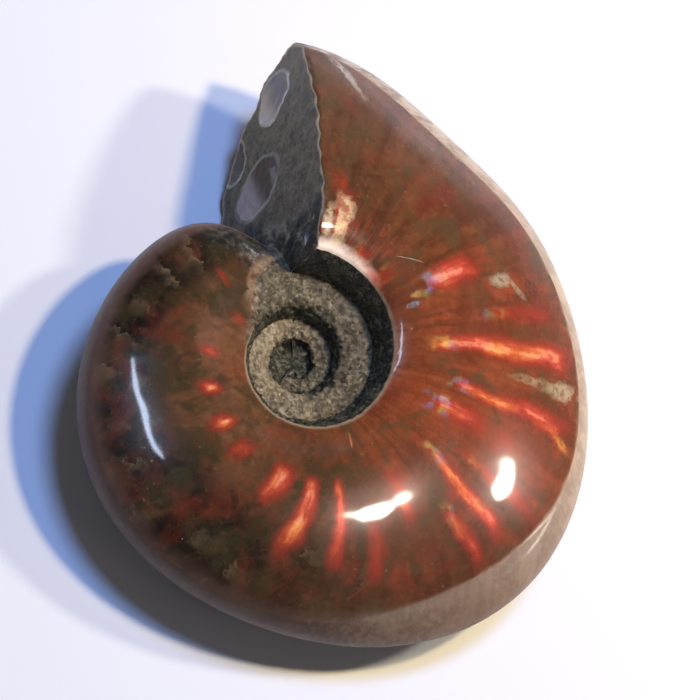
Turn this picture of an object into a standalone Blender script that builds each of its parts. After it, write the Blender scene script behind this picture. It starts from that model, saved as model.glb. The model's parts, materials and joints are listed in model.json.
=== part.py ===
"""Polished ammonite fossil, one solid, lying on one flank. Metres, +Z up."""
import math

import bpy
import numpy as np
from mathutils import Matrix

# Coil, in millimetres and degrees. The mouth is cut at 450, one turn after 90.
MOUTH_RADIUS = 32.7      # centre of the coil to the tip of the mouth
WHORL_GROWTH = 2.05      # size ratio of one turn to the turn before
SHOULDER_RADIUS = 9.9    # rim of the umbilicus at the mouth
HALF_THICKNESS = 9.6     # mid plane to the flank at the mouth
SEAM_SHARE = 0.86        # seam radius as a share of the rim radius
START_ANGLE = 90.0
MOUTH_ANGLE = 450.0

# Uneven growth of the outline: (middle angle, spread, share of the radius).
LOWER_SWELL = (318.0, 50.0, 0.235)
EARLY_SWELL = (218.0, 55.0, 0.125)
COVERED_DIP = (90.0, 25.0, -0.32)
CHEEK_DIP = (415.0, 20.0, -0.05)

# Rim band between the flank and the outer edge of the shell.
BAND_WIDTH = 2.5
BAND_HALF_HEIGHT = 3.2
BAND_SWELL = (308.0, 28.0, 2.9)
TIP_SPREAD = 14.0        # degrees over which the band pinches out at the tip

# Whorl section between the rim of the umbilicus and the rim band.
CREST_SHARE = 0.20       # where the flank is thickest
RIM_DROP = 0.14          # how far the rim rounds off below the crest
FLANK_POWER = 1.9

# Broken mouth face: it leans over the lower flank and bows along its height.
MOUTH_SLANT = 15.0
MOUTH_OFFSET = -2.1
MOUTH_BOW = 2.1
MOUTH_SPREAD = 28.0

# Rest attitude of the coil axis, degrees about X and then about Y.
REST_TURN_X = 5.2
REST_TURN_Y = 0.5

STEPS_PER_TURN = 60
INNER_STEPS = 78
CENTRE_HEIGHT = 0.9


def bump(angle, shape):
    middle, spread, amount = shape
    return amount * math.exp(-(((angle - middle) / spread) ** 2))


def growth(angle):
    return WHORL_GROWTH ** ((angle - MOUTH_ANGLE) / 360.0)


def outerRadius(angle):
    uneven = bump(angle, LOWER_SWELL) + bump(angle, EARLY_SWELL)
    uneven += bump(angle, COVERED_DIP) + bump(angle, CHEEK_DIP)
    return MOUTH_RADIUS * growth(angle) * math.exp(uneven)


def rimRadius(angle):
    return SHOULDER_RADIUS * growth(angle)


def tipPinch(angle):
    return 1.0 - 0.75 * math.exp(-(((angle - MOUTH_ANGLE) / TIP_SPREAD) ** 2))


def bandWidth(angle):
    return (BAND_WIDTH * growth(angle) ** 2 + bump(angle, BAND_SWELL)) * tipPinch(angle)


def bandHeight(angle):
    return BAND_HALF_HEIGHT * growth(angle) * tipPinch(angle)


def flankPoint(angle, share):
    """Radius and height on the upper flank, share 0 at the rim, 1 at the band."""
    inner = rimRadius(angle)
    outer = outerRadius(angle) - bandWidth(angle)
    top = HALF_THICKNESS * growth(angle)
    low = bandHeight(angle)
    if share < CREST_SHARE:
        height = top * (1.0 - RIM_DROP * ((CREST_SHARE - share) / CREST_SHARE) ** 2)
    else:
        run = (share - CREST_SHARE) / (1.0 - CREST_SHARE)
        height = low + (top - low) * (1.0 - run ** FLANK_POWER)
    return inner + share * (outer - inner), height


def seamShare(angle):
    """Share of the flank at which the next turn covers this one."""
    inner = rimRadius(angle)
    outer = outerRadius(angle) - bandWidth(angle)
    return (SEAM_SHARE * rimRadius(angle + 360.0) - inner) / (outer - inner)


def innerRow(angle):
    """Upper points from this turn's seam, up the wall and out to the next seam."""
    earlier = angle - 360.0
    seam = flankPoint(earlier, seamShare(earlier))
    rim = flankPoint(angle, 0.0)
    middle = (0.45 * seam[0] + 0.55 * rim[0], 0.55 * seam[1] + 0.45 * rim[1])
    points = [seam, middle, rim]
    last = seamShare(angle)
    for share in (0.12, 0.32, 0.62, 1.0):
        points.append(flankPoint(angle, share * last))
    return points


def outerRow(angle):
    """Upper points from the next turn's seam out to the middle of the rim."""
    first = seamShare(angle)
    points = []
    for step in range(1, 8):
        share = first + (1.0 - first) * (step / 7.0) ** 0.9
        points.append(flankPoint(angle, share))
    radius, height = points[-1]
    width = bandWidth(angle)
    for step in (1, 2, 3):
        turn = step / 3.0
        bow = math.sin(turn * math.pi / 2.0)
        out = 0.45 * turn + 0.55 * bow
        drop = 0.45 * turn + 0.55 * (1.0 - math.cos(turn * math.pi / 2.0))
        points.append((radius + width * out, height * (1.0 - drop)))
    return points


def place(angle, radius, height):
    """Coil point to millimetres, with the broken mouth face bent into it."""
    x = radius * math.cos(math.radians(angle))
    y = radius * math.sin(math.radians(angle))
    away = (angle - START_ANGLE + 180.0) % 360.0 - 180.0
    near = math.exp(-((away / MOUTH_SPREAD) ** 2))
    reach = min(max((radius - 4.0) / 5.0, 0.0), 1.0)
    reach = reach * reach * (3.0 - 2.0 * reach)
    bow = MOUTH_OFFSET + MOUTH_BOW * (max(radius - 13.0, 0.0) / 18.0) ** 2
    x += near * reach * (height * math.tan(math.radians(MOUTH_SLANT)) + bow)
    return x, y, height


class Skin:
    def __init__(self):
        self.points = []
        self.faces = []

    def add(self, angle, radius, height):
        self.points.append(place(angle, radius, height))
        return len(self.points) - 1

    def strip(self, first, second, flip):
        for a, b, c, d in zip(first, first[1:], second[1:], second):
            self.faces.append((d, c, b, a) if flip else (a, b, c, d))


def sideRows(skin, side, rims):
    """Columns of one flank, keyed by step; the last turn reaches the rim."""
    columns = {}
    for step in range(-INNER_STEPS, STEPS_PER_TURN + 1):
        angle = START_ANGLE + 360.0 * step / STEPS_PER_TURN
        points = innerRow(angle)
        earlier = columns.get(step - STEPS_PER_TURN)
        column = []
        if earlier:
            column.append(earlier[6])
        else:
            column.append(skin.add(angle, points[0][0], side * points[0][1]))
        for radius, height in points[1:]:
            column.append(skin.add(angle, radius, side * height))
        if step >= 0:
            outer = outerRow(angle)
            for radius, height in outer[:-1]:
                column.append(skin.add(angle, radius, side * height))
            if step not in rims:
                rims[step] = skin.add(angle, outer[-1][0], 0.0)
            column.append(rims[step])
        columns[step] = column
    for step in range(-INNER_STEPS, STEPS_PER_TURN):
        first, second = columns[step], columns[step + 1]
        if step < 0:
            first, second = first[:7], second[:7]
        skin.strip(first, second, side < 0)
    # The innermost turn closes on a low boss at the centre of the coil.
    begin = -INNER_STEPS
    loop = [columns[step][0] for step in range(begin, begin + STEPS_PER_TURN + 1)]
    loop += columns[begin][5:0:-1]
    middle = len(skin.points)
    skin.points.append((0.0, 0.0, side * CENTRE_HEIGHT))
    for a, b in zip(loop, loop[1:] + loop[:1]):
        skin.faces.append((middle, b, a) if side < 0 else (middle, a, b))
    return columns


def mouthFace(skin, upper, lower):
    """The broken face between the last section and the turn it sits on."""
    big = upper[STEPS_PER_TURN] + lower[STEPS_PER_TURN][-2::-1]
    small = upper[0][6:] + lower[0][-2:5:-1]
    i = 0
    j = 0
    while i < len(big) - 1 or j < len(small) - 1:
        ahead = (i + 1) / (len(big) - 1) <= (j + 1) / (len(small) - 1)
        if j == len(small) - 1 or (ahead and i < len(big) - 1):
            corner = (big[i], big[i + 1], small[j])
            i += 1
        else:
            corner = (big[i], small[j + 1], small[j])
            j += 1
        if len(set(corner)) == 3:
            skin.faces.append(corner)


def makeStone():
    stone = bpy.data.materials.new("polishedStone")
    stone.use_nodes = True
    shader = stone.node_tree.nodes["Principled BSDF"]
    shader.inputs["Base Color"].default_value = (0.20, 0.065, 0.035, 1.0)
    shader.inputs["Roughness"].default_value = 0.2
    shader.inputs["Metallic"].default_value = 0.0
    return stone


def makeAmmonite():
    skin = Skin()
    rims = {}
    upper = sideRows(skin, 1.0, rims)
    lower = sideRows(skin, -1.0, rims)
    mouthFace(skin, upper, lower)
    points = np.array(skin.points) / 1000.0
    turn = Matrix.Rotation(math.radians(REST_TURN_Y), 3, "Y")
    turn = turn @ Matrix.Rotation(math.radians(REST_TURN_X), 3, "X")
    points = points @ np.array(turn).T
    low = points.min(axis=0)
    high = points.max(axis=0)
    points -= [(low[0] + high[0]) / 2.0, (low[1] + high[1]) / 2.0, low[2]]
    mesh = bpy.data.meshes.new("ammonite")
    mesh.from_pydata(points.tolist(), [], skin.faces)
    mesh.validate()
    mesh.shade_smooth()
    mesh.materials.append(makeStone())
    part = bpy.data.objects.new("ammonite", mesh)
    bpy.context.scene.collection.objects.link(part)
    return part


for old in list(bpy.data.objects):
    bpy.data.objects.remove(old)
makeAmmonite()
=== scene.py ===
import json
import math

import bpy
import numpy as np
from mathutils import Matrix, Vector, noise

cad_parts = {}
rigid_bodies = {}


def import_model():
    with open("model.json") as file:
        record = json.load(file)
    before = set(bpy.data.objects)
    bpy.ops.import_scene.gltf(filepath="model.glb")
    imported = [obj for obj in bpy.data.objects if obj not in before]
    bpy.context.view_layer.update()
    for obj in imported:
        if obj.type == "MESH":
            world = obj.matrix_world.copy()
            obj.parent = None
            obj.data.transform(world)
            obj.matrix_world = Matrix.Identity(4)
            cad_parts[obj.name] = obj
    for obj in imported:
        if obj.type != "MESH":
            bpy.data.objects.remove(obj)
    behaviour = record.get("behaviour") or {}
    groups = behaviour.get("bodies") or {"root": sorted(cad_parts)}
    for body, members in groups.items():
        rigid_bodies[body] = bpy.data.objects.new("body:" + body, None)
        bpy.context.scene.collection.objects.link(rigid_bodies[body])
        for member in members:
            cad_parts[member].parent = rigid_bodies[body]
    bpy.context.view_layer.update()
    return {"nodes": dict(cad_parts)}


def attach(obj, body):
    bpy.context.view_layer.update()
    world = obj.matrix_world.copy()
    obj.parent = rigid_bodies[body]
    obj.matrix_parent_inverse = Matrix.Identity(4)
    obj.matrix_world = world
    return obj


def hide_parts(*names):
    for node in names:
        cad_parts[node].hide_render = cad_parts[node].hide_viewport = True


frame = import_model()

print("frame loaded, nodes:", sorted(frame["nodes"]))

coil = {
    "mouthRadius": 32.7,            # mm, coil centre to the tip
    "growth": 2.05,                 # size ratio over one turn
    "rimRadius": 9.9,               # mm, rim of the hollow centre at the mouth
    "halfThickness": 9.6,
    "seamShare": 0.86,
    "start": 90.0,                  # degrees
    "mouth": 450.0,
    "swells": [(318.0, 50.0, 0.235), (218.0, 55.0, 0.125), (90.0, 25.0, -0.32), (415.0, 20.0, -0.05)],
    "bandWidth": 2.5,
    "bandHeight": 3.2,
    "bandSwell": (308.0, 28.0, 2.9),
    "tipSpread": 14.0,
    "tipWidth": 0.60,               # how much of the band's width the tip loses
    "tipHeight": 0.30,
    "sandReach": 0.85,              # share of the first flank that the sandy filling covers
    "sandEnd": 66.0,                # degrees over which it shrinks back to the rim
    "ragged": 0.17,                 # mm, unevenness of the broken edge
    "crest": 0.20,
    "rimDrop": 0.14,
    "flankPower": 1.9,
    "slant": 15.0,
    "mouthOffset": -2.1,
    "mouthBow": 2.1,
    "mouthSpread": 28.0,
    "mouthFrom": 4.0,               # mm, where the bend of the mouth face begins
    "mouthRun": 5.0,
    "bowFrom": 13.0,
    "bowRun": 18.0,
    "raggedSpread": 2.2,            # degrees
    "restX": 5.2,                   # degrees the coil leans as it lies
    "restY": 0.5,
    "stepsPerTurn": 288,
    "innerSteps": 460,
    "wallRows": 12,
    "floorRows": 22,
    "flankRows": 44,
    "bandRows": 12,
    "mouthSteps": 44,
    "centreHeight": 0.9,
}


def swell(angle, shape):
    middle, spread, amount = shape
    return amount * np.exp(-(((angle - middle) / spread) ** 2))


def growth(angle):
    return coil["growth"] ** ((angle - coil["mouth"]) / 360.0)


def outerRadius(angle):
    uneven = sum(swell(angle, shape) for shape in coil["swells"])
    return coil["mouthRadius"] * growth(angle) * np.exp(uneven)


def rimRadius(angle):
    return coil["rimRadius"] * growth(angle)


def tipPinch(angle, loss):
    return 1.0 - loss * np.exp(-(((angle - coil["mouth"]) / coil["tipSpread"]) ** 2))


def bandWidth(angle):
    full = coil["bandWidth"] * growth(angle) ** 2 + swell(angle, coil["bandSwell"])
    return full * tipPinch(angle, coil["tipWidth"])


def bandHeight(angle):
    return coil["bandHeight"] * growth(angle) * tipPinch(angle, coil["tipHeight"])


def flankPoint(angle, share):
    # radius and height on the flank, share 0 at the rim and 1 at the band
    inner = rimRadius(angle)
    outer = outerRadius(angle) - bandWidth(angle)
    top = coil["halfThickness"] * growth(angle)
    low = bandHeight(angle)
    crest = coil["crest"]
    near = np.clip((crest - share) / crest, 0.0, None)
    run = np.clip((share - crest) / (1.0 - crest), 0.0, None)
    rising = top * (1.0 - coil["rimDrop"] * near ** 2)
    falling = low + (top - low) * (1.0 - run ** coil["flankPower"])
    return inner + share * (outer - inner), np.where(share < crest, rising, falling)


def seamShare(angle):
    inner = rimRadius(angle)
    outer = outerRadius(angle) - bandWidth(angle)
    return (coil["seamShare"] * rimRadius(angle + 360.0) - inner) / (outer - inner)


def sectionPoint(angle, row):
    # radius, height and share of one row, counted from the seam to the keel
    wall = coil["wallRows"]
    floor = wall + coil["floorRows"]
    flank = floor + coil["flankRows"]
    last = seamShare(angle)
    seamRadius, seamHeight = flankPoint(angle - 360.0, seamShare(angle - 360.0))
    rim = flankPoint(angle, 0.0 * angle)
    climb = np.clip(row / wall, 0.0, 1.0)
    lean = climb ** 1.25
    wallRadius = seamRadius + (rim[0] - seamRadius) * lean
    wallHeight = seamHeight + (rim[1] - seamHeight) * climb
    inside = last * np.clip((row - wall) / (floor - wall), 0.0, 1.0)
    outside = np.clip((row - floor) / (flank - floor), 0.0, 1.0) * (1.0 - last)
    share = inside + outside
    radius, height = flankPoint(angle, share)
    turn = np.clip((row - flank) / coil["bandRows"], 0.0, 1.0)
    out = 0.4 * turn + 0.6 * np.sin(turn * math.pi / 2.0)
    drop = 0.4 * turn + 0.6 * (1.0 - np.cos(turn * math.pi / 2.0))
    radius = radius + bandWidth(angle) * out
    height = height * (1.0 - drop)
    onWall = row < wall
    return (
        np.where(onWall, wallRadius, radius),
        np.where(onWall, wallHeight, height),
        np.where(onWall, climb - 1.0, share + turn),
    )


def bend(angle, radius, height):
    # coil point to millimetres, with the broken mouth face bent into it
    x = radius * np.cos(np.radians(angle))
    y = radius * np.sin(np.radians(angle))
    away = (angle - coil["start"] + 180.0) % 360.0 - 180.0
    near = np.exp(-((away / coil["mouthSpread"]) ** 2))
    reach = np.clip((radius - coil["mouthFrom"]) / coil["mouthRun"], 0.0, 1.0)
    reach = reach * reach * (3.0 - 2.0 * reach)
    far = np.clip(radius - coil["bowFrom"], 0.0, None) / coil["bowRun"]
    bow = coil["mouthOffset"] + coil["mouthBow"] * far ** 2
    x = x + near * reach * (height * math.tan(math.radians(coil["slant"])) + bow)
    return np.stack([x, y, height], axis=-1)


def sandLimit(angle):
    # share of the flank below which the sandy filling covers it
    part = np.clip((angle - coil["start"]) / coil["sandEnd"], 0.0, 1.0)
    return coil["sandReach"] * (1.0 - part) ** 1.6


def raggedEdge(radius, height):
    waves = 0.7 * np.sin(radius * 0.9 + height * 0.7) + 0.4 * np.sin(radius * 2.3 - height * 1.3 + 1.0)
    return coil["ragged"] * (waves + 0.25 * np.sin(radius * 4.7 + height * 3.9 + 2.0))


restTurn = Matrix.Rotation(math.radians(coil["restY"]), 3, "Y")
restTurn = restTurn @ Matrix.Rotation(math.radians(coil["restX"]), 3, "X")


def deselectAll():
    for thing in bpy.context.view_layer.objects:
        thing.select_set(False)


def addGrid(name, across, along):
    deselectAll()
    bpy.ops.mesh.primitive_grid_add(x_subdivisions=across, y_subdivisions=along, size=2.0)
    grid = bpy.context.object
    grid.name = name
    points = np.empty(len(grid.data.vertices) * 3)
    grid.data.vertices.foreach_get("co", points)
    points = points.reshape(-1, 3)
    column = np.rint((points[:, 0] + 1.0) / 2.0 * across)
    row = np.rint((points[:, 1] + 1.0) / 2.0 * along)
    return grid, column, row


def giveVectors(mesh, name, values):
    layer = mesh.attributes.new(name, "FLOAT_VECTOR", "POINT")
    layer.data.foreach_set("vector", np.asarray(values, dtype=np.float32).ravel())


def readVectors(mesh, name):
    values = np.empty(len(mesh.vertices) * 3, dtype=np.float32)
    mesh.attributes[name].data.foreach_get("vector", values)
    return values.reshape(-1, 3).astype(float)


def editMode(piece, mode):
    deselectAll()
    piece.select_set(True)
    bpy.context.view_layer.objects.active = piece
    bpy.ops.object.mode_set(mode="EDIT")
    bpy.ops.mesh.select_mode(type=mode)
    bpy.ops.mesh.select_all(action="DESELECT")


def objectMode():
    bpy.ops.object.mode_set(mode="OBJECT")


def windShell():
    # a long sheet wound along the coil; what the next turn covers is deleted
    rows = coil["wallRows"] + coil["floorRows"] + coil["flankRows"] + coil["bandRows"]
    seamRow = coil["wallRows"] + coil["floorRows"]
    steps = coil["innerSteps"] + coil["stepsPerTurn"]
    shell, column, row = addGrid("ammoniteShell", steps, rows * 2)
    angle = coil["start"] + 360.0 * (column - coil["innerSteps"]) / coil["stepsPerTurn"]
    side = np.where(row <= rows, 1.0, -1.0)
    fold = rows - np.abs(rows - row)
    radius, height, share = sectionPoint(angle, fold)
    height = np.where(fold == rows, 0.0, height)
    points = bend(angle, radius, height * side)
    atEnd = np.exp(-(((angle - coil["mouth"]) / coil["raggedSpread"]) ** 2))
    points[:, 0] += atEnd * raggedEdge(radius, height * side)
    covered = np.where(angle >= coil["start"], sandLimit(angle), 0.0)
    shell.data.vertices.foreach_set("co", points.ravel())
    giveVectors(shell.data, "coil", np.stack([angle / 360.0, share, side], axis=-1))
    giveVectors(shell.data, "face", np.stack([radius, height * side, covered - share], axis=-1))
    slots = []
    hide = []
    for face in shell.data.polygons:
        spots = np.array(face.vertices)
        inner = column[spots].max() <= coil["innerSteps"]
        folds = fold[spots]
        hide.append(bool(inner and folds.min() >= seamRow))
        onWall = folds.max() <= coil["wallRows"]
        patch = 0.03 * math.sin(angle[spots[0]] * 0.9) + 0.02 * math.sin(angle[spots[0]] * 2.3)
        sandy = (share - covered)[spots].mean() < patch * (covered[spots[0]] > 0.02)
        slots.append(2 if inner or onWall or sandy else 0)
    shell.data.polygons.foreach_set("material_index", slots)
    editMode(shell, "FACE")
    objectMode()
    shell.data.polygons.foreach_set("select", hide)
    bpy.ops.object.mode_set(mode="EDIT")
    bpy.ops.mesh.delete(type="FACE")
    objectMode()
    return shell


def windMouth():
    # the broken face, drawn from the last section in to the turn below it
    rows = coil["wallRows"] + coil["floorRows"] + coil["flankRows"] + coil["bandRows"]
    seamRow = coil["wallRows"] + coil["floorRows"]
    steps = coil["mouthSteps"]
    mouth, column, row = addGrid("mouthFace", steps, rows * 2)
    side = np.where(row <= rows, 1.0, -1.0)
    fold = rows - np.abs(rows - row)
    end = 0.0 * column + coil["mouth"]
    start = 0.0 * column + coil["start"]
    bigRadius, bigHeight, share = sectionPoint(end, fold)
    smallRadius, smallHeight = sectionPoint(start, np.maximum(fold, seamRow))[:2]
    inward = column / steps
    radius = bigRadius + (smallRadius - bigRadius) * inward
    height = bigHeight + (smallHeight - bigHeight) * inward
    height = np.where(fold == rows, 0.0, height * side)
    points = bend(end, radius, height)
    points[:, 0] += (1.0 - inward) * raggedEdge(radius, height)
    depth = inward * np.hypot(smallRadius - bigRadius, smallHeight - bigHeight)
    mouth.data.vertices.foreach_set("co", points.ravel())
    giveVectors(mouth.data, "coil", np.stack([end / 360.0, share, side], axis=-1))
    giveVectors(mouth.data, "face", np.stack([radius, height, depth], axis=-1))
    mouth.data.polygons.foreach_set("material_index", [1] * len(mouth.data.polygons))
    return mouth


def closeCentres(shell):
    # the innermost turn is drawn in to one point on each flank
    editMode(shell, "EDGE")
    bpy.ops.mesh.select_non_manifold()
    bpy.ops.mesh.extrude_region_move()
    objectMode()
    for point in shell.data.vertices:
        if point.select:
            side = 1.0 if point.co.z > 0.0 else -1.0
            point.co = (0.0, 0.0, side * coil["centreHeight"])
    chosen = [point.index for point in shell.data.vertices if point.select]
    for name in ("coil", "face"):
        layer = shell.data.attributes[name].data
        for index in chosen:
            old = layer[index].vector
            layer[index].vector = (old[0], old[1], old[2]) if name == "coil" else (0.0, old[1], 0.0)
    bpy.ops.object.mode_set(mode="EDIT")
    bpy.ops.mesh.remove_doubles(threshold=0.001)
    objectMode()


def buildShell(stones):
    shell = windShell()
    mouth = windMouth()
    for stone in stones:
        shell.data.materials.append(stone)
        mouth.data.materials.append(stone)
    deselectAll()
    mouth.select_set(True)
    shell.select_set(True)
    bpy.context.view_layer.objects.active = shell
    bpy.ops.object.join()
    editMode(shell, "VERT")
    bpy.ops.mesh.select_all(action="SELECT")
    bpy.ops.mesh.remove_doubles(threshold=0.0005)
    objectMode()
    closeCentres(shell)
    editMode(shell, "FACE")
    bpy.ops.mesh.select_all(action="SELECT")
    bpy.ops.mesh.normals_make_consistent(inside=False)
    objectMode()
    return shell


relief = {
    "shellWave": 0.03,      # mm
    "waveSize": 6.0,        # the sizes are in mm too
    "ribHeight": 0.010,
    "ribGap": 19.0,         # degrees from rib to rib
    "ribLean": 18.0,        # degrees each rib leans from the rim to the band
    "pitRough": 0.22,
    "fineGrit": 0.55,
    "coarseGrit": 1.7,
    "mouthRough": 0.14,
    "mouthGrit": 0.9,
}


def smoothStep(value, low, high):
    part = np.clip((value - low) / (high - low), 0.0, 1.0)
    return part * part * (3.0 - 2.0 * part)


def noiseAt(points, size, octaves, shift=0.0):
    offset = Vector((shift, -shift, 0.5 * shift))
    return np.array([noise.fractal(Vector(p) / size + offset, 1.0, 2.0, octaves) for p in points])


def wearShell(shell):
    mesh = shell.data
    count = len(mesh.vertices)
    points = np.empty(count * 3)
    mesh.vertices.foreach_get("co", points)
    points = points.reshape(-1, 3)
    normals = np.empty(count * 3)
    mesh.vertex_normals.foreach_get("vector", normals)
    normals = normals.reshape(-1, 3)
    winding = readVectors(mesh, "coil")
    place = readVectors(mesh, "face")
    angle = winding[:, 0] * 360.0
    share = winding[:, 1]
    atMouth = (angle >= coil["mouth"] - 0.01) * (place[:, 2] > 0.0)
    onMouth = atMouth * smoothStep(place[:, 2], 0.0, 0.5)
    buried = np.where(angle >= coil["start"], place[:, 2], 1.0)
    inPit = np.maximum(smoothStep(-share, 0.0, 0.25), smoothStep(buried, -0.03, 0.06)) * (1.0 - atMouth)
    onFlank = (1.0 - onMouth) * (1.0 - inPit)
    wave = noiseAt(points, relief["waveSize"], 3)
    rib = np.cos(2.0 * math.pi * (angle + relief["ribLean"] * share) / relief["ribGap"])
    ribFade = smoothStep(share, 0.02, 0.3) * (1.0 - smoothStep(share, 0.7, 1.0))
    push = onFlank * (relief["shellWave"] * wave + relief["ribHeight"] * rib * ribFade)
    grit = noiseAt(points, relief["fineGrit"], 3, 7.0) + 0.8 * noiseAt(points, relief["coarseGrit"], 2, 3.0)
    push += inPit * relief["pitRough"] * grit
    rubble = noiseAt(points, relief["mouthGrit"], 4, 21.0)
    push += onMouth * relief["mouthRough"] * rubble
    points = points + normals * push[:, None]
    mesh.vertices.foreach_set("co", points.ravel())


def settleShell(shell):
    # millimetres to metres, laid down the way it rests
    mesh = shell.data
    points = np.empty(len(mesh.vertices) * 3)
    mesh.vertices.foreach_get("co", points)
    points = points.reshape(-1, 3) / 1000.0
    points = points @ np.array(restTurn).T
    low = points.min(axis=0)
    high = points.max(axis=0)
    shift = np.array([(low[0] + high[0]) / 2.0, (low[1] + high[1]) / 2.0, low[2]])
    mesh.vertices.foreach_set("co", (points - shift).ravel())
    mesh.update()
    return Vector(-shift)


class Wire:
    # a socket, so that sums on it can be written as Python
    def __init__(self, paint, socket):
        self.paint = paint
        self.socket = socket

    def join(self, operation, first, second):
        return self.paint.node("ShaderNodeMath", {"operation": operation}, {0: first, 1: second})

    def __add__(self, other):
        return self.join("ADD", self, other)

    def __radd__(self, other):
        return self.join("ADD", other, self)

    def __sub__(self, other):
        return self.join("SUBTRACT", self, other)

    def __rsub__(self, other):
        return self.join("SUBTRACT", other, self)

    def __mul__(self, other):
        return self.join("MULTIPLY", self, other)

    def __rmul__(self, other):
        return self.join("MULTIPLY", other, self)

    def __truediv__(self, other):
        return self.join("DIVIDE", self, other)

    def __rtruediv__(self, other):
        return self.join("DIVIDE", other, self)

    def __pow__(self, other):
        return self.join("POWER", self, other)


class Paint:
    def __init__(self, name):
        self.material = bpy.data.materials.new(name)
        self.material.use_nodes = True
        self.tree = self.material.node_tree
        self.shader = self.tree.nodes["Principled BSDF"]

    def node(self, kind, settings=None, inputs=None, output=0):
        made = self.tree.nodes.new(kind)
        for key, value in (settings or {}).items():
            if key == "stops":
                self.setStops(made.color_ramp, value)
            elif key == "ramp":
                made.color_ramp.interpolation = value
            else:
                setattr(made, key, value)
        for key, value in (inputs or {}).items():
            if isinstance(value, Wire):
                self.tree.links.new(value.socket, made.inputs[key])
            else:
                made.inputs[key].default_value = value
        return Wire(self, made.outputs[output])

    def setStops(self, ramp, stops):
        ramp.elements.remove(ramp.elements[1])
        ramp.elements[0].position = stops[0][0]
        ramp.elements[0].color = (*stops[0][1], 1.0)
        for place, colour in stops[1:]:
            ramp.elements.new(place).color = (*colour, 1.0)

    def attribute(self, name):
        return self.node("ShaderNodeAttribute", {"attribute_name": name}, output=1)

    def split(self, vector):
        made = self.node("ShaderNodeSeparateXYZ", {}, {0: vector})
        outputs = made.socket.node.outputs
        return [Wire(self, outputs[i]) for i in range(3)]

    def vector(self, x, y, z):
        return self.node("ShaderNodeCombineXYZ", {}, {0: x, 1: y, 2: z})

    def ramp(self, value, stops, kind="LINEAR"):
        return self.node("ShaderNodeValToRGB", {"ramp": kind, "stops": stops}, {0: value})

    def noise(self, vector, scale, detail=3.0, rough=0.5, twist=0.0):
        sizes = {"Vector": vector, "Scale": scale, "Detail": detail, "Roughness": rough, "Distortion": twist}
        return self.node("ShaderNodeTexNoise", {}, sizes)

    def cells(self, vector, scale, output=0):
        return self.node("ShaderNodeTexVoronoi", {}, {"Vector": vector, "Scale": scale}, output)

    def step(self, value, low, high, first=0.0, last=1.0):
        limits = {"Value": value, "From Min": low, "From Max": high, "To Min": first, "To Max": last}
        return self.node("ShaderNodeMapRange", {"interpolation_type": "SMOOTHSTEP"}, limits)

    def blend(self, factor, first, second, mode="MIX"):
        settings = {"data_type": "RGBA", "blend_type": mode, "clamp_factor": True}
        return self.node("ShaderNodeMix", settings, {0: factor, 6: first, 7: second}, 2)

    def bump(self, height, distance, strength):
        return self.node("ShaderNodeBump", {}, {"Height": height, "Distance": distance, "Strength": strength})

    def feed(self, name, value):
        if isinstance(value, Wire):
            self.tree.links.new(value.socket, self.shader.inputs[name])
        else:
            self.shader.inputs[name].default_value = value

    def where(self):
        made = self.tree.nodes.new("ShaderNodeTexCoord")
        return Wire(self, made.outputs["Object"])


# each flash: middle in degrees, half width, inner and outer end across the flank, strength
flashes = [
    (142.0, 4.0, 0.36, 0.62, 0.45),
    (150.0, 8.0, 0.08, 0.24, 0.60),
    (180.0, 3.4, 0.20, 0.36, 1.15),
    (200.0, 5.6, 0.20, 0.37, 1.35),
    (219.5, 6.0, 0.21, 0.38, 1.35),
    (236.5, 6.5, 0.22, 0.40, 0.85),
    (257.5, 6.6, 0.24, 0.50, 1.08),
    (271.5, 4.4, 0.28, 0.72, 1.10),
    (283.5, 3.2, 0.28, 0.76, 0.90),
    (295.0, 3.4, 0.50, 0.88, 0.60),
    (306.0, 3.6, 0.30, 0.66, 0.60),
    (316.5, 2.6, 0.62, 0.98, 0.85),
    (323.0, 2.8, 0.32, 0.94, 1.00),
    (331.0, 2.6, 0.45, 1.00, 0.60),
    (340.5, 5.6, 0.20, 0.52, 0.95),
    (350.0, 3.4, 0.28, 0.94, 1.00),
    (366.0, 4.2, 0.18, 0.98, 1.15),
    (376.0, 3.0, 0.50, 0.95, 0.50),
    (391.0, 6.4, 0.22, 0.56, 1.10),
    (406.0, 6.0, 0.00, 0.14, 0.90),
    (422.0, 9.0, -0.02, 0.12, 1.30),
    (438.0, 6.0, 0.05, 0.30, 0.80),
]


# a colour ramp holds few stops, so the flashes are shared out over several ramps
flashFit = {"perRamp": 8, "widen": 1.2, "gap": 0.0006}


def flashRamps(paint, along):
    # along runs 0 to 1 over the last turn; the stops come from the list above
    def spot(angle):
        return (angle - 90.0) / 360.0

    sums = None
    gap = flashFit["gap"]
    for first in range(0, len(flashes), flashFit["perRamp"]):
        group = flashes[first:first + flashFit["perRamp"]]
        stops = []
        for middle, width, low, high, strength in group:
            width = width * flashFit["widen"]
            if stops and spot(middle - width) <= stops[-1][0]:
                dip = (stops[-1][0] + spot(middle - width)) / 2.0
                stops[-1] = (max(dip - gap, stops[-2][0] + 0.001), stops[-1][1])
                stops.append((dip + gap, (0.0, 0.0, 0.0)))
            else:
                stops.append((spot(middle - width), (0.0, 0.0, 0.0)))
            stops.append((spot(middle), (strength,) * 3))
            stops.append((spot(middle + width), (0.0, 0.0, 0.0)))
        part = paint.ramp(along, stops, "EASE")
        sums = part if sums is None else sums + part
    bounds = []
    for index, (middle, width, low, high, strength) in enumerate(flashes):
        edge = 0.0
        if index:
            before = flashes[index - 1]
            edge = spot((before[0] + before[1] + middle - width) / 2.0)
        bounds.append((edge, (low + 0.1, high, 0.0)))
    reach = paint.ramp(along, bounds, "CONSTANT")
    low, high = paint.split(reach)[:2]
    return sums, low - 0.1, high


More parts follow.
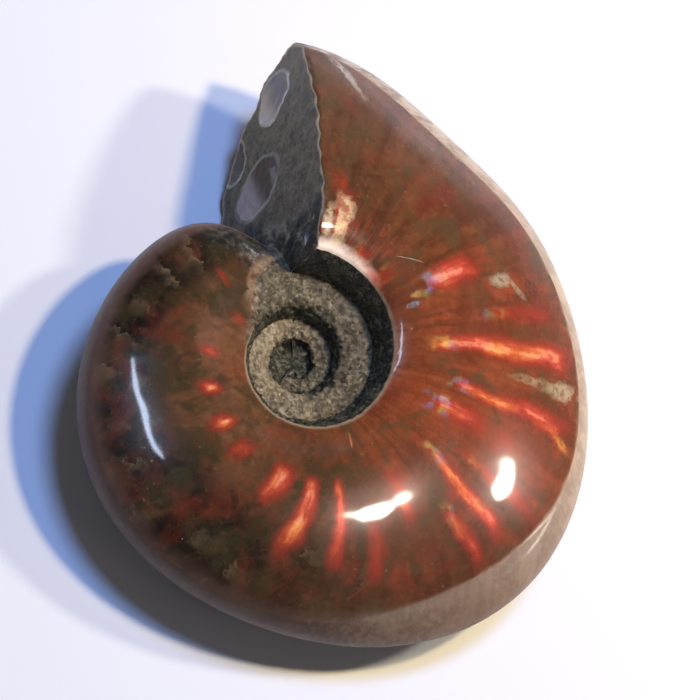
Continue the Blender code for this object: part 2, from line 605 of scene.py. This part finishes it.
# small marks on the upper flank, some of them painted glints and highlights: middle (degrees, share), half
# size in mm, turn, colour, strength
marks = [
    {"middle": (382.9, 0.66), "size": (0.75, 1.55), "turn": 10.0,
     "colour": (0.36, 0.29, 0.19), "strength": 0.9},
    {"middle": (380.0, 0.73), "size": (0.35, 1.3), "turn": 62.0,
     "colour": (0.36, 0.27, 0.17), "strength": 0.7},
    {"middle": (379.6, 0.83), "size": (0.7, 0.8), "turn": 0.0,
     "colour": (0.07, 0.020, 0.012), "strength": 0.8},
    {"middle": (356.3, 0.75), "size": (0.50, 3.9), "turn": 2.0,
     "colour": (0.36, 0.23, 0.12), "strength": 0.75},
    {"middle": (355.7, 0.90), "size": (0.80, 1.9), "turn": 0.0,
     "colour": (0.42, 0.31, 0.19), "strength": 0.85},
    {"middle": (405.0, 0.235), "size": (1.9, 0.055), "turn": -30.0,
     "colour": (0.75, 0.60, 0.42), "strength": 0.8},
    {"middle": (441.2, 0.93), "size": (0.50, 2.2), "turn": -42.0,
     "colour": (0.40, 0.33, 0.27), "strength": 0.85},
    {"middle": (443.0, 0.31), "size": (1.6, 1.5), "turn": 0.0,
     "colour": (0.34, 0.036, 0.018), "strength": 0.55},
    # partly painted highlight: the cream facets by the mouth are pale broken shell, painted brighter where
    # they catch the light
    {"middle": (440.3, 0.16), "size": (1.6, 2.6), "turn": 4.0,
     "colour": (0.74, 0.50, 0.28), "strength": 1.0},
    {"middle": (446.5, 0.12), "size": (0.9, 1.7), "turn": 0.0,
     "colour": (0.60, 0.42, 0.26), "strength": 0.9},
    {"middle": (443.6, 0.16), "size": (0.30, 2.2), "turn": 6.0,
     "colour": (0.36, 0.040, 0.018), "strength": 0.9},
    {"middle": (390.0, 0.17), "size": (0.5, 1.0), "turn": 20.0,
     "colour": (0.70, 0.40, 0.12), "strength": 0.5},
    {"middle": (386.8, 0.12), "size": (0.45, 0.8), "turn": 20.0,
     "colour": (0.25, 0.40, 0.50), "strength": 0.5},
    {"middle": (342.5, 0.27), "size": (0.45, 0.7), "turn": 30.0,
     "colour": (0.42, 0.38, 0.66), "strength": 0.5},
    {"middle": (345.0, 0.90), "size": (0.45, 1.4), "turn": 15.0,
     "colour": (0.70, 0.26, 0.05), "strength": 0.6},
    # painted glint: a thin orange streak where the rim of the hollow catches the light
    {"middle": (296.0, 0.10), "size": (0.16, 0.9), "turn": 35.0,
     "colour": (0.80, 0.28, 0.10), "strength": 0.7},
]


def ovalReach(paint, x, y, size, turn):
    # 0 in the middle of a turned oval and 1 on its outline
    cosine = math.cos(math.radians(turn))
    sine = math.sin(math.radians(turn))
    across = (x * cosine + y * sine) / size[0]
    upward = (y * cosine - x * sine) / size[1]
    return (across * across + upward * upward) ** 0.5


def makeNacre():
    paint = Paint("polishedNacre")
    turns, share, side = paint.split(paint.attribute("coil"))
    buried = paint.split(paint.attribute("face"))[2]
    here = paint.where()
    start = turns - 0.25 - 0.055 * (1.0 - side)           # the lower flank isn't a plain mirror image
    slope = paint.ramp(start, [
        (0.00, (0.060,) * 3),
        (0.42, (0.068,) * 3),
        (0.47, (0.066,) * 3),
        (0.52, (0.036,) * 3),
        (0.60, (0.018,) * 3),
        (0.68, (0.010,) * 3),
        (0.78, (0.020,) * 3),
        (1.00, (0.026,) * 3),
    ])
    cloud = paint.noise(here, 130.0, 4.0, 0.6)
    blotch = paint.noise(here, 420.0, 4.0, 0.65)
    speck = paint.noise(here, 1500.0, 3.0, 0.6)
    sway = slope * (share - 0.3)
    along = start + sway + (cloud - 0.5) * 0.012
    degrees = along * 360.0
    fibre = paint.noise(paint.vector(degrees, share * 4.0, side * 3.0), 0.26, 4.0, 0.55, 0.4)
    threads = paint.noise(paint.vector(degrees, share * 9.0, side * 3.0), 1.1, 3.0, 0.6, 0.3)
    early = paint.step(along, 0.62, 0.48)

    inner = paint.ramp(along, [
        (0.00, (0.150, 0.072, 0.036)),
        (0.10, (0.180, 0.082, 0.038)),
        (0.25, (0.205, 0.088, 0.038)),
        (0.45, (0.165, 0.064, 0.026)),
        (0.56, (0.190, 0.054, 0.020)),
        (0.70, (0.285, 0.058, 0.018)),
        (0.85, (0.185, 0.052, 0.019)),
        (1.00, (0.120, 0.050, 0.021)),
    ])
    outer = paint.ramp(along, [
        (0.00, (0.046, 0.025, 0.012)),
        (0.15, (0.020, 0.011, 0.006)),
        (0.30, (0.008, 0.004, 0.003)),
        (0.46, (0.024, 0.013, 0.007)),
        (0.55, (0.085, 0.036, 0.016)),
        (0.63, (0.180, 0.049, 0.018)),
        (0.75, (0.265, 0.060, 0.020)),
        (0.88, (0.175, 0.052, 0.019)),
        (1.00, (0.135, 0.055, 0.024)),
    ])
    colour = paint.blend(paint.step(share + (cloud - 0.5) * 0.5, 0.42, 0.68), inner, outer)
    mottle = fibre * (0.6 - 0.4 * early) + cloud * 0.6 + 0.2 * early + (blotch + speck - 1.0) * 0.30
    shadeOf = paint.step(mottle, 0.42, 0.80, 0.54, 1.14)
    colour = paint.node("ShaderNodeVectorMath", {"operation": "SCALE"}, {0: colour, "Scale": shadeOf})
    olive = paint.step(paint.noise(here, 260.0, 4.0, 0.6, 0.5) + 0.05 * early, 0.50, 0.64)
    earthy = paint.blend(early, (0.088, 0.050, 0.020, 1.0), (0.042, 0.031, 0.011, 1.0))
    colour = paint.blend(olive * 0.75, colour, earthy)
    warm = paint.step(along, 0.50, 0.68) * paint.step(along, 0.99, 0.86)
    ruddy = paint.step(paint.noise(here, 190.0, 5.0, 0.65, 0.6), 0.48, 0.70)
    colour = paint.blend(ruddy * (0.45 + 0.15 * warm), colour, (0.190, 0.028, 0.013, 1.0))
    patches = paint.step(paint.noise(here, 330.0, 5.0, 0.7, 0.8), 0.54, 0.68) * early
    colour = paint.blend(patches * 0.65 * paint.step(share, 0.25, 0.60), colour, (0.008, 0.006, 0.004, 1.0))
    colour = paint.blend(paint.step(speck, 0.56, 0.74) * 0.18, colour, (0.20, 0.12, 0.06, 1.0))
    dust = paint.step(paint.noise(here, 2300.0, 2.0, 0.6), 0.70, 0.76) * paint.step(blotch, 0.44, 0.56)
    colour = paint.blend(dust * 0.55, colour, (0.46, 0.32, 0.20, 1.0))

    # frilled chamber lines show through the dark early flank
    frill = paint.noise(paint.vector(share * 9.0, degrees * 0.07, side), 1.9, 5.0, 0.75, 0.6)
    teeth = paint.node("ShaderNodeMath", {"operation": "PINGPONG"}, {0: share * 9.0 + frill * 2.4, 1: 0.5})
    course = (degrees + teeth * 3.4 + frill * 13.0 + (blotch - 0.5) * 7.0) / 13.0
    part = paint.node("ShaderNodeMath", {"operation": "FRACT"}, {0: course})
    leaf = paint.ramp(part, [
        (0.00, (0.0, 0.0, 0.0)),
        (0.020, (0.9, 0.9, 0.9)),
        (0.055, (0.35, 0.35, 0.35)),
        (0.30, (0.12, 0.12, 0.12)),
        (1.00, (0.0, 0.0, 0.0)),
    ])
    reachOut = paint.step(share + frill * 0.3, 0.70, 0.90) * early
    patchy = paint.step(paint.noise(here, 300.0, 3.0), 0.46, 0.60)
    colour = paint.blend(leaf * reachOut * patchy * 0.95, colour, (0.230, 0.160, 0.085, 1.0))

    # iridescent flashes lie along the ribs
    strength, low, high = flashRamps(paint, along + (blotch - 0.5) * 0.006 + (cloud - 0.5) * 0.010)
    rise = paint.step(share + (blotch - 0.5) * 0.10 - low, -0.04, 0.08)
    fall = paint.step(high - share + (blotch - 0.5) * 0.16, -0.05, 0.14)
    glow = strength * rise * fall
    broken = paint.noise(paint.vector(degrees * 0.25, share * 7.0, side * 5.0), 1.0, 4.0, 0.6)
    glow = glow * paint.step(broken * 0.7 + threads * 0.30, 0.28, 0.70, 0.62, 1.15)
    shimmer = paint.step(fibre * 0.45 + blotch * 0.35 + cloud * 0.5, 0.59, 0.84) * (0.24 + 0.76 * warm)
    shimmer = shimmer * paint.step(share, 0.12, 0.30) * paint.step(share, 1.0, 0.86)
    shimmer = shimmer * paint.step(along, 0.90, 0.80)
    shimmer = shimmer * paint.step(paint.noise(here, 170.0, 3.0, 0.5, 0.4), 0.44, 0.58)
    colour = paint.blend(shimmer * 0.85, colour, (0.42, 0.045, 0.022, 1.0))
    # a dark red halo, then a narrow bright line that is orange in one place and salmon in another
    core = glow * glow
    fiery = paint.step(cloud + blotch * 0.4, 0.58, 0.80)
    tint = paint.blend(fiery, (0.70, 0.080, 0.048, 1.0), (0.78, 0.160, 0.040, 1.0))
    bright = paint.blend(fiery, (0.96, 0.36, 0.24, 1.0), (1.0, 0.46, 0.16, 1.0))
    colour = paint.blend(paint.step(glow, 0.00, 0.55) * 0.80, colour, (0.34, 0.032, 0.018, 1.0))
    colour = paint.blend(paint.step(core, 0.12, 0.95) * 0.95, colour, tint)
    colour = paint.blend(paint.step(core, 0.60, 1.30) * 0.85, colour, bright)
    hue = paint.ramp(paint.noise(here, 330.0, 2.0, 0.6), [
        (0.38, (0.90, 0.40, 0.08)),
        (0.47, (0.70, 0.56, 0.12)),
        (0.53, (0.30, 0.45, 0.14)),
        (0.59, (0.14, 0.38, 0.42)),
        (0.66, (0.26, 0.28, 0.65)),
    ])
    ends = paint.step(share - low, -0.06, 0.02) * paint.step(share - low, 0.16, 0.04)
    sparkle = paint.step(paint.noise(here, 800.0, 3.0), 0.42, 0.66) * ends * paint.step(strength, 0.1, 0.7)
    flecks = paint.step(paint.noise(here, 720.0, 3.0, 0.7), 0.58, 0.74) * shimmer
    colour = paint.blend(sparkle * 0.42 * paint.step(along, 0.58, 0.64) + flecks * 0.5, colour, hue)

    # painted highlight: the edge of the hollow just past the mouth is painted pale pink-white where it
    # catches the light, fading into red nacre streaks
    paintedRimSpan = paint.step(turns * 360.0 + (cloud - 0.5) * 12.0, 399.0, 414.0)
    paintedRimHighlight = paintedRimSpan * paint.step(share + (blotch - 0.5) * 0.08, 0.065, 0.015)
    spikes = paint.step(threads, 0.50, 0.66) * paint.step(share + (cloud - 0.5) * 0.2, 0.30, 0.08)
    colour = paint.blend(paintedRimSpan * spikes * 0.6, colour, (0.50, 0.050, 0.028, 1.0))
    # along the rim the painted highlight turns from red to pale pink-white
    paler = paint.step(turns * 360.0 + (blotch - 0.5) * 20.0, 404.0, 428.0)
    paintedRimColour = paint.blend(paler, (0.70, 0.12, 0.08, 1.0), (0.95, 0.74, 0.62, 1.0))
    colour = paint.blend(paintedRimHighlight, colour, paintedRimColour)

    # the rim band is paler and less clear; its tone along the turn is partly painted light, nearly white-pink
    # on the last quarter turn where light from the right falls on it and the bright floor shows in it
    onBand = paint.step(share + (blotch - 0.5) * 0.05, 0.985 - 0.08 * early, 1.02)
    paleAndLitBand = paint.ramp(along, [
        (0.00, (0.175, 0.105, 0.088)),
        (0.30, (0.112, 0.062, 0.052)),
        (0.46, (0.066, 0.036, 0.027)),
        (0.56, (0.070, 0.042, 0.030)),
        (0.64, (0.260, 0.165, 0.115)),
        (0.72, (0.580, 0.430, 0.325)),
        (1.00, (0.560, 0.460, 0.380)),
    ])
    veins = paint.noise(paint.vector(degrees * 0.5, share * 1.5, side), 1.1, 5.0, 0.65, 0.8)
    veiny = paint.step(veins * 0.5 + blotch * 0.55, 0.46, 0.60) * (0.62 - 0.30 * warm)
    paleAndLitBand = paint.blend(veiny, paleAndLitBand, (0.110, 0.054, 0.036, 1.0))
    dotted = paint.step(speck * 0.6 + cloud * 0.5, 0.52, 0.70) * (0.08 + 0.25 * warm)
    paleAndLitBand = paint.blend(dotted, paleAndLitBand, (0.380, 0.290, 0.220, 1.0))
    colour = paint.blend(onBand * 0.90, colour, paleAndLitBand)

    upper = paint.step(side, -0.5, 0.5)
    grainy = paint.step(speck * 0.5 + blotch * 0.6, 0.44, 0.62, 0.25, 1.15)
    dents = None
    for mark in marks:
        x = (turns * 360.0 - mark["middle"][0]) * 0.34
        y = (share - mark["middle"][1]) * 19.0
        away = ovalReach(paint, x, y, mark["size"], mark["turn"]) + (blotch - 0.5) * 3.0 + (speck - 0.5) * 1.2
        there = paint.step(away, 1.10, 0.55) * upper * grainy
        colour = paint.blend(there * mark["strength"], colour, (*mark["colour"], 1.0))
        dents = there if dents is None else dents + there

    # rock still clings to the shell where the mouth breaks off
    rock = paint.step(turns * 360.0 + (blotch - 0.5) * 40.0, 127.0, 118.0) * paint.step(share, 1.10, 0.85)
    stony = paint.ramp(speck * 0.5 + blotch * 0.6, [
        (0.44, (0.012, 0.011, 0.009)),
        (0.54, (0.046, 0.038, 0.028)),
        (0.61, (0.090, 0.080, 0.062)),
        (0.69, (0.360, 0.330, 0.270)),
    ])
    colour = paint.blend(rock * 0.95, colour, stony)

    # a pale broken lip runs round the rim of the hollow and along the mouth
    lip = paint.step(buried + (blotch - 0.5) * 0.02, -0.022, -0.004)
    colour = paint.blend(lip * 0.65, colour, (0.40, 0.29, 0.18, 1.0))
    torn = paint.step(buried + (blotch - 0.5) * 0.40, -0.17, -0.09) * paint.step(start, 0.16, 0.10)
    colour = paint.blend(torn * 0.80, colour, paint.ramp(blotch, [
        (0.38, (0.100, 0.035, 0.022)),
        (0.47, (0.420, 0.290, 0.170)),
        (0.54, (0.300, 0.170, 0.095)),
        (0.64, (0.120, 0.055, 0.035)),
    ]))
    dusty = paint.step(buried + (blotch - 0.5) * 0.08, -0.07, -0.02) * paint.step(start, 0.24, 0.18)
    colour = paint.blend(dusty * 0.9, colour, paint.ramp(speck, [
        (0.38, (0.030, 0.022, 0.014)),
        (0.52, (0.215, 0.145, 0.095)),
        (0.66, (0.420, 0.310, 0.215)),
    ]))

    scuff = paint.noise(here, 520.0, 5.0, 0.65)
    dull = paint.step(rock + dusty, 0.0, 0.6)
    paint.feed("Base Color", colour)
    paint.feed("Roughness", 0.24 + 0.07 * scuff + 0.18 * onBand + 0.36 * dull)
    paint.feed("Metallic", paint.step(glow, 0.1, 0.9) * 0.2)
    # painted glow: the bright flash cores and the painted rim highlight give off a weak light of their own,
    # so they stay bright from every side
    flashGlow = paint.blend(paint.step(glow, 0.15, 1.0), (0, 0, 0, 1), (0.13, 0.030, 0.014, 1.0))
    paint.feed("Emission Color", paint.blend(paintedRimHighlight * paler, flashGlow, (0.9, 0.72, 0.62, 1.0)))
    paint.feed("Emission Strength", 0.40)
    worn = 0.6 * paint.step(share, 0.06, 0.0) + 0.55 * paint.step(share, 0.78, 1.0)
    paint.feed("Coat Weight", (0.9 - 0.6 * onBand) * (1.0 - dull) * (1.0 - worn))
    paint.feed("Specular IOR Level", 0.36)
    paint.feed("Coat Roughness", 0.07)
    paint.feed("Coat IOR", 1.5)
    grain = fibre * 0.3 + blotch * 0.3 + threads * 0.15 - dents * 0.8 + rock * (speck + blotch) * 3.0
    paint.feed("Normal", paint.bump(grain, 0.00006, 0.5))
    return paint.material


# lobes on the mouth face, and one painted gleam: middle and half size in millimetres, turn in degrees
lobesAndGleam = [
    {"middle": (27.4, -1.9), "size": (2.9, 2.5), "turn": 20.0, "fill": 0.75, "line": 1.0,
     "dark": (0.300, 0.255, 0.245), "light": (0.780, 0.680, 0.600), "slope": 0.12},
    {"middle": (18.2, -2.6), "size": (4.4, 2.6), "turn": 58.0, "fill": 0.95, "line": 0.45,
     "dark": (0.080, 0.050, 0.038), "light": (0.400, 0.340, 0.350), "slope": 0.16},
    {"middle": (21.8, -7.6), "size": (2.5, 2.0), "turn": 14.0, "fill": 0.6, "line": 1.0,
     "dark": (0.060, 0.056, 0.054), "light": (0.200, 0.190, 0.185), "slope": 0.10},
    # not a lobe but a painted reflection: a small blue-white gleam at the inner corner of the mouth
    {"middle": (11.4, 6.6), "size": (0.95, 0.34), "turn": 10.0, "fill": 1.0, "line": 0.0,
     "dark": (0.090, 0.110, 0.160), "light": (0.520, 0.560, 0.660), "slope": 0.50},
]


def makeMatrix():
    paint = Paint("greyMatrix")
    radius, height, depth = paint.split(paint.attribute("face"))
    here = paint.where()
    fine = paint.noise(here, 2600.0, 4.0, 0.6)
    rough = paint.noise(here, 700.0, 4.0, 0.65)
    broad = paint.noise(here, 190.0, 3.0, 0.5)
    colour = paint.ramp(rough * 0.55 + fine * 0.45, [
        (0.34, (0.030, 0.028, 0.019)),
        (0.48, (0.135, 0.114, 0.074)),
        (0.58, (0.190, 0.162, 0.110)),
        (0.74, (0.240, 0.215, 0.155)),
    ])
    # lighter towards the tip, darker towards the hollow
    outward = radius + (broad - 0.5) * 6.0
    colour = paint.blend(paint.step(outward, 22.0, 32.0) * 0.75, colour, (0.250, 0.212, 0.172, 1.0))
    colour = paint.blend(paint.step(outward, 18.0, 10.0) * 0.5, colour, (0.034, 0.031, 0.026, 1.0))
    cuts = paint.noise(paint.vector(radius * 6.0, height * 0.6, depth), 1.3, 3.0, 0.6)
    colour = paint.blend(paint.step(cuts, 0.40, 0.32) * 0.5, colour, (0.010, 0.010, 0.010, 1.0))
    rubble = paint.step(radius + (broad - 0.5) * 8.0, 15.5, 12.5)
    colour = paint.blend(rubble, colour, paint.ramp(rough * 0.8 + broad * 0.4, [
        (0.44, (0.006, 0.006, 0.006)),
        (0.56, (0.034, 0.033, 0.028)),
        (0.64, (0.085, 0.078, 0.058)),
        (0.74, (0.330, 0.300, 0.240)),
    ]))
    bumps = rough * 0.6 + fine * 0.4 + rubble * rough * 2.5
    # the same loop paints the blue-white gleam of reflected light
    for faceMark in lobesAndGleam:
        wobble = (rough - 0.5) * 0.06 + (broad - 0.5) * 0.30
        x = radius - faceMark["middle"][0]
        y = height - faceMark["middle"][1]
        away = ovalReach(paint, x, y, faceMark["size"], faceMark["turn"]) + wobble
        inside = paint.step(away, 0.97, 0.88)
        line = paint.step(away, 0.85, 0.92) * paint.step(away, 1.08, 0.99)
        gaps = paint.step(broad + fine * 0.4, 0.55, 0.80, 1.0, 0.3)
        swirl = paint.step(rough * 0.3 + broad * 0.3 - (x + y) * faceMark["slope"], 0.10, 0.65)
        filling = paint.blend(swirl, (*faceMark["dark"], 1.0), (*faceMark["light"], 1.0))
        spots = paint.step(paint.noise(here, 430.0, 2.0), 0.58, 0.72) * inside
        colour = paint.blend(inside * faceMark["fill"], colour, filling)
        colour = paint.blend(spots * 0.5, colour, (0.36, 0.34, 0.31, 1.0))
        colour = paint.blend(line * gaps * faceMark["line"] * 0.9, colour, (0.80, 0.76, 0.67, 1.0))
        bumps = bumps + line * 0.35 - inside * 0.15
    # the cut edge of the shell shows as a pale line
    edge = paint.step(depth + (rough - 0.5) * 0.9 + (broad - 0.5) * 0.5, 0.60, 0.28)
    colour = paint.blend(edge * 0.85, colour, (0.52, 0.41, 0.27, 1.0))
    paint.feed("Base Color", colour)
    paint.feed("Roughness", 0.55 + 0.3 * rough)
    paint.feed("Normal", paint.bump(bumps, 0.00022, 0.8))
    return paint.material


def makeSand():
    paint = Paint("sandyPit")
    turns, share = paint.split(paint.attribute("coil"))[:2]
    here = paint.where()
    grain = paint.cells(here, 3600.0)
    pick = paint.cells(here, 3600.0, output=1)
    dust = paint.noise(here, 2400.0, 4.0, 0.7)
    clump = paint.noise(here, 900.0, 4.0, 0.7)
    broad = paint.noise(here, 300.0, 3.0, 0.6)
    shadePick, glintPick = paint.split(pick)[:2]
    tone = shadePick * 0.25 + dust * 0.45 + clump * 0.55
    light = paint.ramp(tone, [
        (0.40, (0.110, 0.080, 0.046)),
        (0.54, (0.205, 0.152, 0.088)),
        (0.66, (0.305, 0.232, 0.142)),
        (0.84, (0.450, 0.352, 0.228)),
    ])
    gloom = paint.ramp(tone, [
        (0.42, (0.007, 0.007, 0.006)),
        (0.60, (0.036, 0.034, 0.024)),
        (0.72, (0.100, 0.088, 0.058)),
        (0.86, (0.220, 0.190, 0.130)),
    ])
    # painted shade: the walls and seams down in the hollow are painted dark, partly dark grit and partly
    # shade, the crest of each inner turn is painted lighter, and the deepest turns are dimmed
    onCrest = paint.step(share + (broad - 0.5) * 0.35, -0.12, 0.10)
    onCrest = onCrest * paint.step(share + (broad - 0.5) * 0.2, 0.80, 0.36)
    shaded = paint.ramp(turns + (broad - 0.5) * 0.06 + 1.1, [
        (0.10, (0.30,) * 3),
        (0.35, (0.75,) * 3),
        (0.48, (1.0,) * 3),
        (0.62, (1.0,) * 3),
        (0.80, (0.80,) * 3),
        (0.98, (0.42,) * 3),
    ])
    early = paint.step(turns, 0.24, 0.27)
    lightness = onCrest * shaded * (1.0 - early) + early * paint.step(share, -0.02, 0.06) * 0.34
    colour = paint.blend(lightness, gloom, light)
    # partly pale grains and partly painted glints, dimmer where the hollow is painted in shade
    glint = paint.step(glintPick, 0.965, 0.99) * (0.3 + 0.7 * lightness)
    colour = paint.blend(glint * 0.5, colour, (0.66, 0.58, 0.46, 1.0))
    paint.feed("Base Color", colour)
    paint.feed("Roughness", 0.75)
    paint.feed("Normal", paint.bump(dust * 0.4 + clump * 0.4 + (1.0 - grain) * 0.3, 0.00018, 0.8))
    return paint.material


stones = [makeNacre(), makeMatrix(), makeSand()]
print("stones mixed")
shell = buildShell(stones)
wearShell(shell)
coilCentre = settleShell(shell)
deselectAll()
shell.select_set(True)
bpy.context.view_layer.objects.active = shell
bpy.ops.object.shade_smooth()
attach(shell, "root")
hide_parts("ammonite")
print("shell wound,", len(shell.data.polygons), "faces, coil centre at", [round(v, 4) for v in coilCentre])


def makeFloor():
    deselectAll()
    bpy.ops.mesh.primitive_plane_add(size=4.0, location=(0.0, 0.0, 0.0))
    floor = bpy.context.object
    floor.name = "floor"
    paint = Paint("palePaper")
    paint.feed("Base Color", (0.86, 0.84, 0.88, 1.0))
    paint.feed("Roughness", 0.6)
    # far away the lamps no longer reach the paper, so it brightens by itself up to the pale backdrop
    away = paint.node("ShaderNodeVectorMath", {"operation": "LENGTH"}, {0: paint.where()}, 1)
    farGlow = paint.blend(paint.step(away, 0.05, 0.36), (0, 0, 0, 1), (0.60, 0.61, 0.62, 1.0))
    paint.feed("Emission Color", farGlow)
    paint.feed("Emission Strength", 1.0)
    floor.data.materials.append(paint.material)


# sky is the brightness by height, from the horizon up to overhead
studio = {
    "sky": [(0.00, 0.78), (0.06, 0.74), (0.13, 0.21), (0.35, 0.11), (0.60, 0.06), (1.00, 0.05)],
    "skyColour": (0.92, 0.95, 1.0),
    "view": {"lean": (-16.0, -11.0), "away": 0.300, "lens": 158.4, "aim": (0.00580, 0.00151)},
}

# way is the direction to the lamp, along its long side, and gloss whether the polish mirrors it
lamps = [
    {"name": "keyHigh", "way": (0.43, 0.14, 0.89), "along": (0, 1, 0), "away": 0.30,
     "size": (0.029, 0.029), "power": 0.65, "colour": (1.0, 0.81, 0.44), "gloss": False},
    {"name": "keyLow", "way": (0.71, 0.16, 0.68), "along": (0, 1, 0), "away": 0.40,
     "size": (0.038, 0.038), "power": 0.68, "colour": (1.0, 0.93, 0.72), "gloss": False},
    {"name": "coolWindow", "way": (0.14, 0.34, 0.93), "along": (1, 0, 0), "away": 0.80,
     "size": (0.26, 0.20), "power": 4.8, "colour": (0.26, 0.46, 0.98), "gloss": False},
    {"name": "warmGlint", "way": (0.365, -0.41, 0.85), "along": (1, -0.35, 0), "away": 0.55,
     "size": (0.095, 0.062), "power": 0.72, "colour": (1.0, 0.90, 0.78), "gloss": True},
    {"name": "sideGlint", "way": (0.79, -0.30, 0.54), "along": (0.5, 1, 0.3), "away": 0.55,
     "size": (0.11, 0.065), "power": 0.90, "colour": (1.0, 0.90, 0.78), "gloss": True},
    {"name": "coolStrip", "way": (-0.53, 0.0, 0.85), "along": (0.30, -0.94, 0.16), "away": 0.50,
     "size": (0.29, 0.020), "power": 0.35, "colour": (0.62, 0.74, 1.0), "gloss": True},
]


def addLamp(lamp):
    light = bpy.data.lights.new(lamp["name"], "AREA")
    light.shape = "ELLIPSE"
    light.size = lamp["size"][0]
    light.size_y = lamp["size"][1]
    light.energy = lamp["power"]
    light.color = lamp["colour"]
    holder = bpy.data.objects.new(lamp["name"], light)
    holder.visible_glossy = lamp["gloss"]           # the small lamps only make the highlights
    holder.visible_diffuse = not lamp["gloss"]
    bpy.context.scene.collection.objects.link(holder)
    way = Vector(lamp["way"]).normalized()
    along = Vector(lamp["along"])
    along = (along - way * along.dot(way)).normalized()
    turn = Matrix((along, way.cross(along), way)).transposed().to_4x4()
    holder.matrix_world = Matrix.Translation(way * lamp["away"] + Vector((0.0, 0.0, 0.01))) @ turn


def addCamera(view):
    lean = Vector([math.tan(math.radians(v)) for v in view["lean"]] + [1.0]).normalized()
    up = (Vector((0.0, 1.0, 0.0)) - lean * lean.y).normalized()
    right = up.cross(lean)
    lean, up, right = restTurn @ lean, restTurn @ up, restTurn @ right
    spot = coilCentre + lean * view["away"]
    aim = coilCentre + right * view["aim"][0] + up * view["aim"][1]
    back = (spot - aim).normalized()
    across = up.cross(back).normalized()
    upward = back.cross(across)
    camera = bpy.data.objects.new("camera", bpy.data.cameras.new("camera"))
    camera.data.lens = view["lens"]
    camera.data.sensor_width = 36.0
    camera.data.clip_start = 0.01
    bpy.context.scene.collection.objects.link(camera)
    turn = Matrix((across, upward, back)).transposed().to_4x4()
    camera.matrix_world = Matrix.Translation(spot) @ turn
    bpy.context.scene.camera = camera


def makeWorld(studio):
    # a pale horizon that darkens overhead, so the polish doesn't fog over
    backdrop = bpy.data.worlds.new("studio")
    backdrop.use_nodes = True
    tree = backdrop.node_tree
    way = tree.nodes.new("ShaderNodeTexCoord")
    parts = tree.nodes.new("ShaderNodeSeparateXYZ")
    ramp = tree.nodes.new("ShaderNodeValToRGB")
    tree.links.new(way.outputs["Generated"], parts.inputs[0])
    tree.links.new(parts.outputs[2], ramp.inputs[0])
    tree.links.new(ramp.outputs[0], tree.nodes["Background"].inputs["Color"])
    elements = ramp.color_ramp.elements
    elements.remove(elements[1])
    for index, (place, level) in enumerate(studio["sky"]):
        element = elements.new(place) if index else elements[0]
        element.position = place
        element.color = [level * part for part in studio["skyColour"]] + [1.0]
    bpy.context.scene.world = backdrop


makeFloor()
makeWorld(studio)
for lamp in lamps:
    addLamp(lamp)
addCamera(studio["view"])
bpy.context.scene.view_settings.view_transform = "Standard"
print("studio set")
